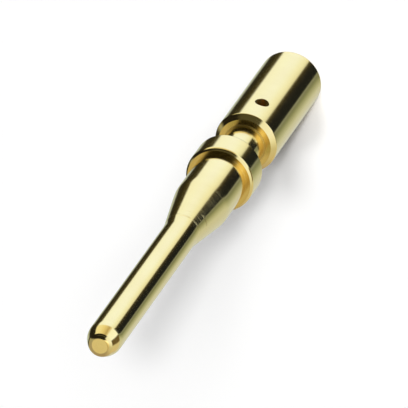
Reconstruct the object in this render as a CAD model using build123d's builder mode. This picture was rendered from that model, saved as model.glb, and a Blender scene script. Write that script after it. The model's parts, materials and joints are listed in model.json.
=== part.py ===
"""Turned crimp contact with a male pin, a retaining collar and a closed crimp barrel.

The contact stands on the open end of its crimp barrel with the pin pointing up: the origin is
the centre of that end, +Z runs along the turning axis to the tip, and the inspection hole
faces -Y. All sizes are millimetres.
"""
import os
from math import radians, tan

from build123d import *

# Pin
pin_diameter = 1.00
pin_length = 7.20
tip_flat_diameter = 0.64
tip_taper_length = 0.40
tip_edge_radius = 0.13

# Cone and body between the pin and the collar
cone_length = 1.96
body_diameter = 1.63
body_length = 1.65

# Retaining collar, standing out of the body
collar_height = 0.195
collar_width = 0.94
collar_chamfer = 0.07
collar_root_radius = 0.04

# Neck, cut below the surface of the crimp barrel
neck_depth = 0.335
neck_length = 1.50
neck_root_radius = 0.06

# Crimp barrel
barrel_diameter = 1.85
barrel_length = 4.45
barrel_front_chamfer = 0.14
barrel_rear_chamfer = 0.04

# Wire bore, drilled from the rear and ending short of the barrel's front face
bore_diameter = 1.25
bore_to_barrel_front = 0.60
bore_point_angle = 118
bore_mouth_chamfer = 0.10

# Inspection hole through one wall of the barrel, near the end of the bore
sight_hole_diameter = 0.41
sight_hole_to_bore_end = 0.43

# Radii
pin_radius = pin_diameter / 2
body_radius = body_diameter / 2
collar_radius = body_radius + collar_height
barrel_radius = barrel_diameter / 2
neck_radius = barrel_radius - neck_depth
bore_radius = bore_diameter / 2

# Heights above the rear end
barrel_front = barrel_length
collar_rear = barrel_front + neck_length
collar_front = collar_rear + collar_width
cone_base = collar_front + body_length
cone_top = cone_base + cone_length
tip = cone_top + pin_length
bore_end = barrel_front - bore_to_barrel_front
sight_hole_height = bore_end - sight_hole_to_bore_end

# Corners of the turned outline that are rounded or broken, as radius and height
tip_edge = (tip_flat_diameter / 2, tip)
collar_root = (body_radius, collar_front)
collar_edge = (collar_radius, collar_front)
neck_front_root = (neck_radius, collar_rear)
neck_rear_root = (neck_radius, barrel_front)
barrel_front_edge = (barrel_radius, barrel_front)
barrel_rear_edge = (barrel_radius, 0)


def turned_outline():
    """Half section of the turned blank, with its roots rounded and its edges broken."""
    with BuildSketch(Plane.XZ) as outline:
        with BuildLine():
            Polyline(
                (0, tip),
                tip_edge,
                (pin_radius, tip - tip_taper_length),
                (pin_radius, cone_top),
                (body_radius, cone_base),
                collar_root,
                collar_edge,
                (collar_radius, collar_rear),
                neck_front_root,
                neck_rear_root,
                barrel_front_edge,
                barrel_rear_edge,
                (0, 0),
                close=True,
            )
        make_face()

        def at(corner):
            return outline.vertices().sort_by_distance(corner)[0]

        fillet(at(tip_edge), tip_edge_radius)
        fillet(at(collar_root), collar_root_radius)
        chamfer(at(collar_edge), collar_chamfer)
        fillet(at(neck_front_root), collar_root_radius)
        fillet(at(neck_rear_root), neck_root_radius)
        chamfer(at(barrel_front_edge), barrel_front_chamfer)
        chamfer(at(barrel_rear_edge), barrel_rear_chamfer)
    return outline.sketch


def bore_outline():
    """Half section of the wire bore: countersunk mouth, straight wall and drill point."""
    point_length = bore_radius / tan(radians(bore_point_angle / 2))
    with BuildSketch(Plane.XZ) as outline:
        with BuildLine():
            Polyline(
                (0, 0),
                (bore_radius + bore_mouth_chamfer, 0),
                (bore_radius, bore_mouth_chamfer),
                (bore_radius, bore_end),
                (0, bore_end + point_length),
                close=True,
            )
        make_face()
    return outline.sketch


# The contact is one turned piece: the blank, the wire bore and the inspection hole
with BuildPart() as crimp_contact:
    add(turned_outline())
    revolve(axis=Axis.Z)
    add(bore_outline())
    revolve(axis=Axis.Z, mode=Mode.SUBTRACT)
    front_of_barrel = Plane(origin=(0, -barrel_radius, sight_hole_height), z_dir=(0, -1, 0))
    with Locations(front_of_barrel):
        Hole(radius=sight_hole_diameter / 2, depth=barrel_radius)

crimp_contact.part.label = "crimp_contact"

os.makedirs("parts", exist_ok=True)
export_step(crimp_contact.part, "parts/crimp_contact.step")
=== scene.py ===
"""Looks of the turned crimp contact: its polished gold surface, the studio and the camera."""
import json
from math import acos, asin, atan2, ceil, cos, pi, radians, sin, sqrt, tan

import bpy
from mathutils import Matrix, Vector


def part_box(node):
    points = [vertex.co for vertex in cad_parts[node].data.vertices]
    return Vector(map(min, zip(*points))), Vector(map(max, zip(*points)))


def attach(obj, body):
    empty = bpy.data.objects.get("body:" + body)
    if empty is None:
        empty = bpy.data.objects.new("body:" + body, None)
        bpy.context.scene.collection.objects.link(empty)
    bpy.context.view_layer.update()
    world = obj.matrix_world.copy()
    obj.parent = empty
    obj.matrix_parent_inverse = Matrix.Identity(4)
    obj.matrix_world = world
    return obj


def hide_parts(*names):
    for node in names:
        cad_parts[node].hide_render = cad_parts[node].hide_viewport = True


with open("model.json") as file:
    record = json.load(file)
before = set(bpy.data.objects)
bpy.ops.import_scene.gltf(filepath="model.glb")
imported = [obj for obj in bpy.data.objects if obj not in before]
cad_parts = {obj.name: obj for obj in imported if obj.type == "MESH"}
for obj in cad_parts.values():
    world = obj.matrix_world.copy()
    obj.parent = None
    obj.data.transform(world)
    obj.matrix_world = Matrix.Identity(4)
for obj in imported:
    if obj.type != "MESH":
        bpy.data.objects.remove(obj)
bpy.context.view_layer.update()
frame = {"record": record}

NODE = "crimp_contact"
MM = 0.001

# Sizes of the contact that the frame gives
mounts = {mount["name"]: mount for mount in frame["record"]["mounts"]}
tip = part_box(NODE)[1].z
collar_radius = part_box(NODE)[1].x
collar_front = mounts["collar_face"]["pos_m"][2]
pin_radius = mounts["contact_pin"]["dims"]["r_mm"] * MM
bore_radius = mounts["wire_bore"]["dims"]["r_mm"] * MM

# Its other sizes
pin_length = 7.20 * MM
tip_flat_radius = 0.32 * MM
tip_taper_length = 0.40 * MM
cone_length = 1.96 * MM
body_radius = 0.815 * MM
collar_width = 0.94 * MM
collar_chamfer = 0.07 * MM
neck_radius = 0.59 * MM
barrel_radius = 0.925 * MM
barrel_front = 4.45 * MM
barrel_front_chamfer = 0.14 * MM
barrel_rear_chamfer = 0.04 * MM
bore_end = 3.85 * MM
bore_point_angle = radians(118)
bore_mouth_chamfer = 0.10 * MM
sight_hole_radius = 0.205 * MM
sight_hole_height = 3.42 * MM

# Heights above the rear end
cone_top = tip - pin_length
cone_base = cone_top - cone_length
collar_rear = collar_front - collar_width

# Rounding of the polished surface: the tip's edge, the other edges and the roots, the wide
# bends at the taper and at the cone's two ends, and the rims of the inspection hole
tip_edge_radius = 0.18 * MM
edge_break = 0.012 * MM
collar_chamfer_break = 0.15 * MM
barrel_chamfer_break = 0.05 * MM
rear_break = 0.04 * MM
root_break = 0.0027 * MM
bore_end_break = 0.024 * MM
taper_break = 0.80 * MM
cone_break = 2.00 * MM
rim_break = 0.010 * MM

# Mesh density: columns round the axis, columns and rows on each side of the hole's centre,
# rings from the square round the hole to its rim, steps over the rim, and the largest angle
# that one step of an arc turns
columns = 256
patch_half = 16
patch_rings = 5
rim_steps = 4
arc_step = radians(6)

# A stretch of the outline that is this many times as long as the next one keeps its own normal
long_stretch = 3
# Distance within which a point counts as lying on a wall or on the axis
same_place = 1e-9

# Gold: its two polished tones, and the deeper gold of the end faces, which are cut square. That
# deeper gold is painted shade, darker as if the contact shadowed its own faces.
gold_warm = (0.90, 0.775, 0.415, 1)
gold_pale = (0.92, 0.805, 0.445, 1)
gold_painted_face_shade = (0.72, 0.565, 0.23, 1)
polished_roughness = (0.09, 0.16)
cut_roughness = 0.16
drilled_roughness = 0.34
# Upright part of the normal from which a face begins to count, and fully counts, as cut square,
# which makes it rougher and paints it darker as shade
cut_face_normal = (0.90, 0.97)
# How far past its own radius a drilled wall still counts as drilled
drilled_margin = 0.012 * MM

# Marks in the gold, each from a noise with its scale and detail. A range gives the values
# between which a mark sets in, a height its share of the relief, which is the highest mark.
tone_noise = (900, 4.0)
tone_range = (0.3, 0.7)
turning_noise = (26000, 3.0)
turning_share = 0.6
streak_stretch = (120, 120, 2500)
streak_noise = (6.0, 4.0)
streak_share = 0.4
marks_range = (0.3, 0.7)
marks_height = 0.12
relief = 0.004 * MM

# Deeper tool marks on the cone: their noise and its shift, the gaps between them, the heights
# where they fade out at the cone's ends, and those over which they get deeper towards the pin
groove_noise = (8500, 2.0)
groove_shift = (0.185 * MM, -1.15 * MM, 0)
groove_range = (0.54, 0.63)
groove_height = 0.85
groove_gap_noise = (1500, 2.0)
groove_gap_range = (0.47, 0.60)
cone_foot = (cone_base + 0.10 * MM, cone_base + 0.30 * MM)
cone_head = (cone_top - 0.14 * MM, cone_top - 0.30 * MM)
cone_upper = (cone_top - 1.1 * MM, cone_top - 0.4 * MM)
groove_depths = (0.12, 1.0)

# Camera: where the photograph shows the tip, and how its picture lies
picture_size = 408
lens_mm = 900
sensor_mm = 36
tip_pixel = (99.27, 346.70)
pixels_per_mm = 36.325
camera_elevation = radians(58.458)
camera_azimuth = radians(-18.6)
axis_angle_in_picture = radians(54.31)

# Floor, with a glowing spot just under it that shows only in the reflections inside the bore. The
# spot is painted light: a warm glow where under the barrel's mouth there is only shade.
floor_size = 0.4
floor_albedo = 0.97
floor_glow = 0.04
spot_depth = 0.012 * MM
bore_glow = (0.62, 0.23, 0.14, 1)

# The lamps: how far each leans from upright as a tangent, how far its shadow turns to the
# right of the view, its strength and how wide it looks as an angle
lamps = {
    "key": (0.60, radians(5.6), 0.98, 0.07),
    "fill": (0.60, radians(6.4), 1.40, 0.27),
    "top": (0.20, radians(30), 0.92, 0.07),
}

# Directions that the room is laid out by: to the softbox, which is to the right of the camera,
# and to the right of someone who looks at it from the contact
softbox_azimuth = camera_azimuth + radians(30.6)
toward_softbox = Vector((sin(softbox_azimuth), -cos(softbox_azimuth), 0))
right_of_softbox = Vector((toward_softbox.y, -toward_softbox.x, 0))

# The room as the metal mirrors it: colours by degrees round from the softbox, in four belts
# from the floor to the ceiling. The softbox is the bright middle of the floor belt.
floor_belt = [
    (-180, (0.66, 0.68, 0.60)),
    (-125, (0.52, 0.57, 0.48)),
    (-115, (0.46, 0.49, 0.42)),
    (-106, (0.034, 0.031, 0.019)),
    (-84, (0.030, 0.025, 0.011)),
    (-70, (0.050, 0.043, 0.018)),
    (-60, (0.085, 0.070, 0.033)),
    (-54, (1.03, 1.08, 1.02)),
    (-28, (1.04, 1.12, 1.17)),
    (-5, (1.04, 1.12, 1.25)),
    (12, (1.03, 1.11, 1.18)),
    (24, (1.01, 1.06, 1.00)),
    (33, (0.97, 1.00, 0.88)),
    (42, (0.86, 0.86, 0.72)),
    (47, (0.07, 0.055, 0.025)),
    (53, (0.045, 0.038, 0.020)),
    (63, (0.018, 0.018, 0.018)),
    (92, (0.012, 0.014, 0.014)),
    (97, (0.30, 0.32, 0.26)),
    (102, (0.21, 0.225, 0.16)),
    (110, (0.25, 0.275, 0.17)),
    (120, (0.38, 0.40, 0.27)),
    (131, (0.50, 0.52, 0.39)),
    (145, (0.63, 0.65, 0.54)),
    (162, (0.65, 0.66, 0.58)),
    (180, (0.66, 0.68, 0.60)),
]
lower_belt = [
    (-180, (0.42, 0.34, 0.26)),
    (-150, (0.42, 0.36, 0.28)),
    (-135, (0.50, 0.53, 0.45)),
    (-129, (0.46, 0.49, 0.40)),
    (-122, (0.020, 0.018, 0.012)),
    (-55, (0.020, 0.018, 0.012)),
    (-50, (0.97, 0.90, 0.58)),
    (-26, (0.96, 0.87, 0.54)),
    (-8, (0.88, 0.75, 0.38)),
    (4, (0.76, 0.62, 0.32)),
    (16, (0.54, 0.42, 0.20)),
    (25, (0.78, 0.66, 0.38)),
    (33, (1.05, 1.08, 1.02)),
    (72, (1.08, 1.14, 1.15)),
    (77, (0.15, 0.105, 0.045)),
    (106, (0.15, 0.105, 0.045)),
    (113, (0.70, 0.62, 0.40)),
    (150, (0.70, 0.58, 0.36)),
    (180, (0.42, 0.34, 0.26)),
]
upper_belt = [
    (-180, (0.40, 0.32, 0.22)),
    (-125, (0.42, 0.36, 0.26)),
    (-100, (0.40, 0.38, 0.25)),
    (-90, (0.40, 0.38, 0.25)),
    (-82, (0.018, 0.015, 0.010)),
    (30, (0.018, 0.015, 0.010)),
    (36, (0.98, 0.98, 0.86)),
    (74, (1.02, 1.04, 1.00)),
    (86, (1.00, 0.99, 0.90)),
    (100, (0.88, 0.86, 0.68)),
    (120, (0.66, 0.60, 0.40)),
    (145, (0.66, 0.56, 0.35)),
    (180, (0.40, 0.32, 0.22)),
]
ceiling_belt = [
    (-180, (0.64, 0.53, 0.30)),
    (-168, (0.76, 0.66, 0.39)),
    (-130, (0.74, 0.64, 0.38)),
    (-105, (0.52, 0.46, 0.28)),
    (-90, (0.02, 0.018, 0.010)),
    (34, (0.02, 0.018, 0.010)),
    (48, (0.36, 0.30, 0.18)),
    (60, (1.25, 1.10, 0.78)),
    (84, (1.45, 1.32, 0.96)),
    (98, (1.06, 0.90, 0.57)),
    (112, (0.92, 0.76, 0.43)),
    (130, (0.80, 0.64, 0.34)),
    (150, (0.56, 0.43, 0.21)),
    (168, (0.58, 0.46, 0.24)),
    (180, (0.64, 0.53, 0.30)),
]

# Where one belt gives way to the next, as the upright part of the direction
floor_to_lower = (-0.62, -0.54)
lower_to_upper = (-0.14, -0.04)
upper_to_ceiling = (0.76, 0.83)

# The floor belt is stretched round the contact above the height at which the upright walls
# mirror the view, and more so past an angle to the right of the softbox
mirrored_height = -0.852
stretch = 0.5
more_stretch = 2.3
more_stretch_from = radians(60)

# A dim wall in the dark part of the upper belt, between two heights and two angles, each with
# a soft edge, and the dark straight below the contact
dim_wall = (0.085, 0.075, 0.040, 1)
wall_bottom = (0.28, 0.40)
wall_top = (0.60, 0.54)
wall_left = (radians(-46), radians(-30))
wall_right = (radians(34), radians(28))
dark_below = (0.012, 0.012, 0.012, 1)
dark_edge = (-0.91, -0.95)

# What the camera sees behind the contact, and the soft light that the room gives the paper
white = (1, 1, 1, 1)
room_ambient = (0.06, 0.06, 0.06, 1)


def corner_arc(before, corner, after, radius):
    """Points of the arc that rounds a corner of the outline, each with its radius and height."""
    here = Vector(corner)
    to_before = (Vector(before) - here).normalized()
    to_after = (Vector(after) - here).normalized()
    half_angle = acos(max(-1, min(1, to_before.dot(to_after)))) / 2
    cut = radius / tan(half_angle)
    centre = here + (to_before + to_after).normalized() * radius / sin(half_angle)
    start = here + to_before * cut - centre
    turn = pi - 2 * half_angle
    side = 1 if to_before.cross(to_after) > 0 else -1
    steps = max(2, ceil(turn / arc_step))
    points = []
    for step in range(steps + 1):
        angle = -side * turn * step / steps
        spoke = Matrix.Rotation(angle, 2) @ start
        points.append(centre + spoke)
    return points


def turned_outline():
    """The outline from the tip's centre, down the outside and up the bore to its drill point."""
    point_length = bore_radius / tan(bore_point_angle / 2)
    corners = [
        (tip_flat_radius, tip, tip_edge_radius),
        (pin_radius, tip - tip_taper_length, taper_break),
        (pin_radius, cone_top, cone_break),
        (body_radius, cone_base, cone_break),
        (body_radius, collar_front, root_break),
        (collar_radius - collar_chamfer, collar_front, edge_break),
        (collar_radius, collar_front - collar_chamfer, collar_chamfer_break),
        (collar_radius, collar_rear, rear_break),
        (neck_radius, collar_rear, root_break),
        (neck_radius, barrel_front, root_break),
        (barrel_radius - barrel_front_chamfer, barrel_front, edge_break),
        (barrel_radius, barrel_front - barrel_front_chamfer, barrel_chamfer_break),
        (barrel_radius, barrel_rear_chamfer, edge_break),
        (barrel_radius - barrel_rear_chamfer, 0, edge_break),
        (bore_radius + bore_mouth_chamfer, 0, edge_break),
        (bore_radius, bore_mouth_chamfer, edge_break),
        (bore_radius, bore_end, bore_end_break),
    ]
    stops = [(0, tip)] + [corner[:2] for corner in corners] + [(0, bore_end + point_length)]
    outline = [Vector(stops[0])]
    for number, (radius, height, rounding) in enumerate(corners, start=1):
        outline += corner_arc(stops[number - 1], (radius, height), stops[number + 1], rounding)
    outline.append(Vector(stops[-1]))
    return outline


def add_hole_rows(outline):
    """Adds the rows of vertices that the hole's patches need on the barrel wall and in the bore.

    Returns the new outline and, for each wall, the number of its first added row and 1 where
    the rows run up or -1 where they run down.
    """
    rows = []
    first_rows = {}
    for here, after in zip(outline, outline[1:]):
        rows.append(here)
        for wall in (barrel_radius, bore_radius):
            straight = abs(here.x - wall) < same_place and abs(after.x - wall) < same_place
            crosses = (here.y - sight_hole_height) * (after.y - sight_hole_height) < 0
            if straight and crosses:
                upward = 1 if after.y > here.y else -1
                first_rows[wall] = len(rows), upward
                pitch = wall * 2 * pi / columns
                for row in range(-patch_half, patch_half + 1):
                    rows.append(Vector((wall, sight_hole_height + upward * row * pitch)))
    rows.append(outline[-1])
    return rows, first_rows


def outline_normals(outline):
    """Normal of the turned surface at each point of the outline, away from the metal."""
    normals = []
    for number, here in enumerate(outline):
        incoming = here - outline[max(number - 1, 0)]
        outgoing = outline[min(number + 1, len(outline) - 1)] - here
        if incoming.length > outgoing.length * long_stretch:
            along = incoming.normalized()
        elif outgoing.length > incoming.length * long_stretch:
            along = outgoing.normalized()
        else:
            along = (incoming.normalized() + outgoing.normalized()).normalized()
        normals.append(Vector((-along.y, along.x)))
    return normals


class Skin:
    """Vertices with their normals, and faces, of one closed surface."""

    def __init__(self):
        self.points = []
        self.normals = []
        self.faces = []

    def add(self, point, normal):
        self.points.append(Vector(point))
        self.normals.append(Vector(normal).normalized())
        return len(self.points) - 1

    def face(self, *corners):
        """Adds a face whose corners run so that it looks along its normals."""
        ring = list(dict.fromkeys(corners))
        a, b, c = (self.points[corner] for corner in ring[:3])
        facing = (b - a).cross(c - a)
        if len(ring) == 4:
            facing += (c - a).cross(self.points[ring[3]] - a)
        looking = sum((self.normals[corner] for corner in ring), Vector())
        self.faces.append(ring if facing.dot(looking) > 0 else ring[::-1])

    def join(self, rings):
        """Joins each ring of vertices to the next with quads."""
        for ring, after in zip(rings, rings[1:]):
            for number in range(len(ring)):
                beside = (number + 1) % len(ring)
                self.face(ring[number], ring[beside], after[beside], after[number])


def square_edge():
    """Steps round the edge of the square patch, as columns and rows from the hole's centre."""
    n = patch_half
    right = [(n, row) for row in range(-n, n)]
    top = [(column, n) for column in range(n, -n, -1)]
    left = [(-n, row) for row in range(n, -n, -1)]
    bottom = [(column, -n) for column in range(-n, n)]
    return right + top + left + bottom


def on_wall(wall, x, height):
    """Point and outward radial direction of a wall's front at a distance x beside the hole."""
    depth = sqrt(wall * wall - x * x)
    return Vector((x, -depth, height)), Vector((x, -depth, 0)) / wall


def hole_rings(skin, wall, outside):
    """The rings of one patch, from just inside its square edge down to the hole's own wall."""
    pitch = wall * 2 * pi / columns
    facing = 1 if outside else -1
    mouth_radius = sight_hole_radius + rim_break
    rings = []
    for ring in range(1, patch_rings + 1):
        share = ring / patch_rings
        ids = []
        for column, row in square_edge():
            angle = atan2(row, column)
            square = Vector((column * pitch, row * pitch))
            round_the_wall = wall * asin(mouth_radius * cos(angle) / wall)
            circle = Vector((round_the_wall, mouth_radius * sin(angle)))
            spot = square.lerp(circle, share)
            x = wall * sin(spot.x / wall)
            point, out = on_wall(wall, x, sight_hole_height + spot.y)
            ids.append(skin.add(point, out * facing))
        rings.append(ids)
    for step in range(1, rim_steps + 1):
        roll = pi / 2 * step / rim_steps
        reach = sight_hole_radius + rim_break * (1 - sin(roll))
        sink = rim_break * (1 - cos(roll))
        ids = []
        for column, row in square_edge():
            angle = atan2(row, column)
            inward = Vector((-cos(angle), 0, -sin(angle)))
            point, out = on_wall(wall, reach * cos(angle), sight_hole_height + reach * sin(angle))
            point.y += sink * facing
            ids.append(skin.add(point, out * facing * cos(roll) + inward * sin(roll)))
        rings.append(ids)
    return rings


def in_patch(column, row, first_row):
    """Whether a quad of the wall's grid lies inside the square that the patch fills."""
    across = (column + columns // 2) % columns - columns // 2
    up = row - first_row
    return -patch_half <= across < patch_half and 0 <= up < 2 * patch_half


def contact_skin():
    """The whole surface of the contact: turned outside and bore, and the inspection hole."""
    skin = Skin()
    outline, first_rows = add_hole_rows(turned_outline())
    grid = []
    for (radius, height), (out, up) in zip(outline, outline_normals(outline)):
        if radius < same_place:
            centre = skin.add((0, 0, height), (0, 0, up))
            grid.append([centre] * columns)
            continue
        ring = []
        for column in range(columns):
            angle = 2 * pi * column / columns
            x, y = sin(angle), -cos(angle)
            ring.append(skin.add((radius * x, radius * y, height), (out * x, out * y, up)))
        grid.append(ring)

    for row, (ring, after) in enumerate(zip(grid, grid[1:])):
        for column in range(columns):
            if any(in_patch(column, row, first) for first, _ in first_rows.values()):
                continue
            beside = (column + 1) % columns
            skin.face(ring[column], ring[beside], after[beside], after[column])

    mouths = []
    for wall, outside in ((barrel_radius, True), (bore_radius, False)):
        first, upward = first_rows[wall]
        edge = []
        for column, row in square_edge():
            edge.append(grid[first + patch_half + upward * row][column % columns])
        rings = [edge] + hole_rings(skin, wall, outside)
        skin.join(rings)
        mouths.append(rings[-1])
    skin.join(mouths)
    return skin


def make_contact():
    """The polished contact, which is shown in place of the plain solid."""
    skin = contact_skin()
    mesh = bpy.data.meshes.new("crimp_contact_polished")
    mesh.from_pydata(skin.points, [], skin.faces)
    mesh.shade_smooth()
    mesh.update()
    mesh.normals_split_custom_set_from_vertices(skin.normals)
    contact = bpy.data.objects.new("crimp_contact_polished", mesh)
    bpy.context.scene.collection.objects.link(contact)
    mesh.materials.append(gold_plating())
    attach(contact, "root")
    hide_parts(NODE)


class Nodes:
    """Short calls for building one node tree."""

    def __init__(self, tree):
        self.tree = tree
        tree.nodes.clear()

    def add(self, kind, inputs=None, **settings):
        """Adds a node, and links or sets its inputs by their names or numbers."""
        node = self.tree.nodes.new(kind)
        for name, value in settings.items():
            setattr(node, name, value)
        for name, value in (inputs or {}).items():
            if isinstance(value, bpy.types.NodeSocket):
                self.tree.links.new(value, node.inputs[name])
            else:
                node.inputs[name].default_value = value
        return node

    def math(self, operation, *values):
        node = self.add("ShaderNodeMath", dict(enumerate(values)), operation=operation)
        return node.outputs[0]

    def times(self, first, second):
        return self.math("MULTIPLY", first, second)

    def distance(self, first, second):
        """Length of the hypotenuse over two distances."""
        squares = self.math("ADD", self.times(first, first), self.times(second, second))
        return self.math("SQRT", squares)

    def vector(self, operation, first, second):
        return self.add("ShaderNodeVectorMath", {0: first, 1: second}, operation=operation)

    def dot(self, vector, direction):
        return self.vector("DOT_PRODUCT", vector, direction).outputs["Value"]

    def span(self, value, low, high, to_low=0.0, to_high=1.0, smooth=True):
        """Maps a value from one range to another, easing in and out unless told otherwise."""
        kind = "SMOOTHSTEP" if smooth else "LINEAR"
        ranges = {"From Min": low, "From Max": high, "To Min": to_low, "To Max": to_high}
        inputs = {"Value": value, **ranges}
        return self.add("ShaderNodeMapRange", inputs, interpolation_type=kind).outputs["Result"]

    def mix(self, share, first, second):
        """Mixes two colours, whose sockets come after those for numbers and vectors."""
        inputs = {0: share, 6: first, 7: second}
        node = self.add("ShaderNodeMix", inputs, data_type="RGBA")
        return node.outputs[2]

    def ramp(self, value, stops):
        """A colour ramp from stops, each a place from 0 to 1 and a colour."""
        node = self.add("ShaderNodeValToRGB", {"Fac": value})
        steps = node.color_ramp.elements
        while len(steps) < len(stops):
            steps.new(1)
        for step, (place, colour) in zip(steps, stops):
            step.position = place
            step.color = (*colour, 1)
        return node.outputs["Color"]

    def noise(self, vector, scale, detail):
        inputs = {"Vector": vector, "Scale": scale, "Detail": detail}
        return self.add("ShaderNodeTexNoise", inputs).outputs["Fac"]


def gold_plating():
    """Polished gold over fine turning marks that run round the axis, with painted shade on the
    end faces.
    """
    material = bpy.data.materials.new("gold_plating")
    material.use_nodes = True
    n = Nodes(material.node_tree)
    place = n.add("ShaderNodeTexCoord").outputs["Object"]
    x, y, z = n.add("ShaderNodeSeparateXYZ", {0: place}).outputs
    normal = n.add("ShaderNodeNewGeometry").outputs["Normal"]
    facing_up = n.add("ShaderNodeSeparateXYZ", {0: normal}).outputs[2]
    off_axis = n.distance(x, y)
    section = n.add("ShaderNodeCombineXYZ", {0: off_axis, 1: z, 2: 0.0}).outputs[0]
    shifted = n.vector("ADD", section, groove_shift).outputs[0]
    squeezed = n.vector("MULTIPLY", place, streak_stretch).outputs[0]

    tone = n.noise(place, *tone_noise)
    turning = n.noise(section, *turning_noise)
    streaks = n.noise(squeezed, *streak_noise)
    grooves = n.noise(shifted, *groove_noise)
    gaps = n.noise(place, *groove_gap_noise)

    # The faces that were cut square, of collar and barrel but not of the tip, which are rougher
    # and painted darker as shade
    below_collar = n.math("LESS_THAN", z, collar_front + collar_chamfer)
    cut_face_and_painted_shade = n.times(n.span(facing_up, *cut_face_normal), below_collar)

    # The drilled walls: the bore with its drill point, and the inspection hole
    inside = n.math("LESS_THAN", off_axis, bore_radius + drilled_margin)
    in_bore = n.times(inside, n.math("LESS_THAN", z, bore_end + bore_radius))
    off_hole = n.distance(x, n.math("SUBTRACT", z, sight_hole_height))
    near_hole = n.math("LESS_THAN", off_hole, sight_hole_radius + drilled_margin)
    in_hole = n.times(near_hole, n.math("LESS_THAN", y, 0.0))
    drilled = n.math("MAXIMUM", in_bore, in_hole)

    colour = n.mix(n.span(tone, *tone_range), gold_warm, gold_pale)
    # The end faces get a deeper gold, which is painted shade
    colour = n.mix(cut_face_and_painted_shade, colour, gold_painted_face_shade)
    marks = n.math("ADD", n.times(turning, turning_share), n.times(streaks, streak_share))
    roughness = n.span(marks, *marks_range, *polished_roughness)
    roughness = n.math("MAXIMUM", roughness, n.times(drilled, drilled_roughness))
    roughness = n.math("MAXIMUM", roughness, n.times(cut_face_and_painted_shade, cut_roughness))

    # Tool marks on the cone, deepest near the pin and broken round it
    on_cone = n.times(n.span(z, *cone_foot), n.span(z, *cone_head))
    depth = n.times(on_cone, n.span(z, *cone_upper, *groove_depths))
    broken = n.times(depth, n.span(gaps, *groove_gap_range))
    deep = n.times(broken, n.span(grooves, *groove_range))
    height = n.math("ADD", n.times(marks, marks_height), n.times(deep, groove_height))
    bump = n.add("ShaderNodeBump", {"Height": height, "Strength": 1.0, "Distance": relief})
    shader = n.add("ShaderNodeBsdfPrincipled", {
        "Base Color": colour,
        "Metallic": 1.0,
        "Roughness": roughness,
        "Normal": bump.outputs["Normal"],
    })
    n.add("ShaderNodeOutputMaterial", {"Surface": shader.outputs["BSDF"]})
    return material


def studio_world():
    """White for the camera; in the metal a softbox, a window, dark walls and a pale floor."""
    world = bpy.data.worlds.new("studio")
    bpy.context.scene.world = world
    world.use_nodes = True
    n = Nodes(world.node_tree)
    direction = n.add("ShaderNodeTexCoord").outputs["Generated"]
    height = n.dot(direction, (0, 0, 1))
    to_softbox = n.dot(direction, toward_softbox)
    to_right = n.dot(direction, right_of_softbox)
    turn = n.math("ARCTAN2", to_right, to_softbox)

    def belt(angle, stops):
        place = n.span(angle, -pi, pi, smooth=False)
        return n.ramp(place, [((degree + 180) / 360, colour) for degree, colour in stops])

    rise = n.math("SUBTRACT", height, mirrored_height)
    beyond = n.math("MAXIMUM", n.math("SUBTRACT", turn, more_stretch_from), 0.0)
    wider = n.math("ADD", n.times(turn, stretch), n.times(beyond, more_stretch))
    stretched = n.math("ADD", turn, n.times(wider, rise))
    low = n.mix(n.span(height, *floor_to_lower), belt(stretched, floor_belt),
                belt(turn, lower_belt))
    low = n.mix(n.span(height, *dark_edge), low, dark_below)

    wall_height = n.times(n.span(height, *wall_bottom), n.span(height, *wall_top))
    wall_width = n.times(n.span(turn, *wall_left), n.span(turn, *wall_right))
    high = n.mix(n.times(wall_height, wall_width), belt(turn, upper_belt), dim_wall)

    room = n.mix(n.span(height, *lower_to_upper), low, high)
    room = n.mix(n.span(height, *upper_to_ceiling), room, belt(turn, ceiling_belt))
    path = n.add("ShaderNodeLightPath").outputs
    shown = n.mix(path["Is Glossy Ray"], room_ambient, room)
    shown = n.mix(path["Is Camera Ray"], shown, white)
    background = n.add("ShaderNodeBackground", {"Color": shown})
    n.add("ShaderNodeOutputWorld", {"Surface": background.outputs[0]})


def flat_square(name, size, material):
    """A square sheet on the plane the contact stands on."""
    mesh = bpy.data.meshes.new(name)
    half = size / 2
    corners = [(-half, -half, 0), (half, -half, 0), (half, half, 0), (-half, half, 0)]
    mesh.from_pydata(corners, [], [(0, 1, 2, 3)])
    sheet = bpy.data.objects.new(name, mesh)
    bpy.context.scene.collection.objects.link(sheet)
    mesh.materials.append(material)
    return sheet


def paper():
    """White paper that keeps the contact's shadow."""
    material = bpy.data.materials.new("paper")
    material.use_nodes = True
    n = Nodes(material.node_tree)
    lit = n.add("ShaderNodeBsdfDiffuse", {"Color": (floor_albedo,) * 3 + (1,)})
    path = n.add("ShaderNodeLightPath").outputs
    strength = n.times(path["Is Camera Ray"], floor_glow)
    glow = n.add("ShaderNodeEmission", {"Strength": strength})
    both = n.add("ShaderNodeAddShader", {0: lit.outputs[0], 1: glow.outputs[0]})
    n.add("ShaderNodeOutputMaterial", {"Surface": both.outputs[0]})
    return material


def shade_under_mouth():
    """The warm glow that the drilled walls mirror, painted light in place of the shade under the
    mouth.
    """
    material = bpy.data.materials.new("shade_under_mouth")
    material.use_nodes = True
    n = Nodes(material.node_tree)
    glow = n.add("ShaderNodeEmission", {"Color": bore_glow})
    n.add("ShaderNodeOutputMaterial", {"Surface": glow.outputs[0]})
    return material


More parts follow.
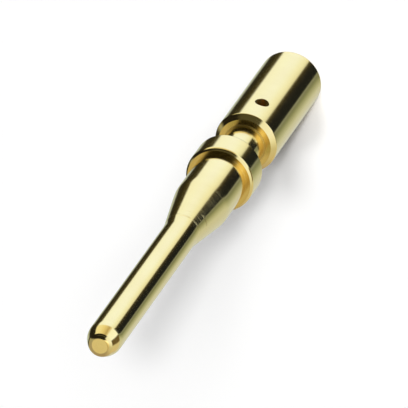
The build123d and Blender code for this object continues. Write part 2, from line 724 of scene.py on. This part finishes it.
def make_floor():
    """The pale floor, which reflections look through, and the glowing spot under the barrel's
    mouth that paints the light seen in the bore.
    """
    floor = flat_square("floor", floor_size, paper())
    floor.visible_glossy = False
    spot = flat_square("floor_under_mouth", bore_radius * 2, shade_under_mouth())
    spot.location.z = -spot_depth


def make_lamp(name, lean, turned, strength, width):
    """One soft lamp on the camera's side, which the metal doesn't mirror."""
    light = bpy.data.lights.new(name, "SUN")
    light.energy = strength
    light.angle = width
    lamp = bpy.data.objects.new(name, light)
    azimuth = camera_azimuth + turned
    direction = Vector((sin(azimuth) * lean, -cos(azimuth) * lean, 1))
    lamp.rotation_mode = "QUATERNION"
    lamp.rotation_quaternion = direction.to_track_quat("Z", "Y")
    lamp.visible_glossy = False
    bpy.context.scene.collection.objects.link(lamp)


def make_camera():
    """A camera far off, so placed that the tip and the axis lie where the photograph has them."""
    level = Vector((sin(camera_azimuth), -cos(camera_azimuth), 0))
    toward = level * cos(camera_elevation) + Vector((0, 0, sin(camera_elevation)))
    down_axis = level * sin(camera_elevation) - Vector((0, 0, cos(camera_elevation)))
    beside = down_axis.cross(toward)
    right = down_axis * cos(axis_angle_in_picture) + beside * sin(axis_angle_in_picture)
    up = down_axis * sin(axis_angle_in_picture) - beside * cos(axis_angle_in_picture)
    focal_pixels = lens_mm / sensor_mm * picture_size
    distance = focal_pixels / pixels_per_mm * MM
    tip_right = (tip_pixel[0] - picture_size / 2) * distance / focal_pixels
    tip_down = (tip_pixel[1] - picture_size / 2) * distance / focal_pixels
    place = Vector((0, 0, tip)) - right * tip_right + up * tip_down + toward * distance
    turned = Matrix((right, up, toward)).transposed().to_4x4()
    lens = bpy.data.cameras.new("camera")
    lens.lens = lens_mm
    lens.sensor_width = sensor_mm
    lens.clip_start = distance / 10
    lens.clip_end = distance * 10
    camera = bpy.data.objects.new("camera", lens)
    camera.matrix_world = Matrix.Translation(place) @ turned
    bpy.context.scene.collection.objects.link(camera)
    bpy.context.scene.camera = camera


make_contact()
make_floor()
for name, settings in lamps.items():
    make_lamp(name, *settings)
studio_world()
make_camera()
bpy.context.scene.view_settings.view_transform = "Standard"

bpy.context.view_layer.update()
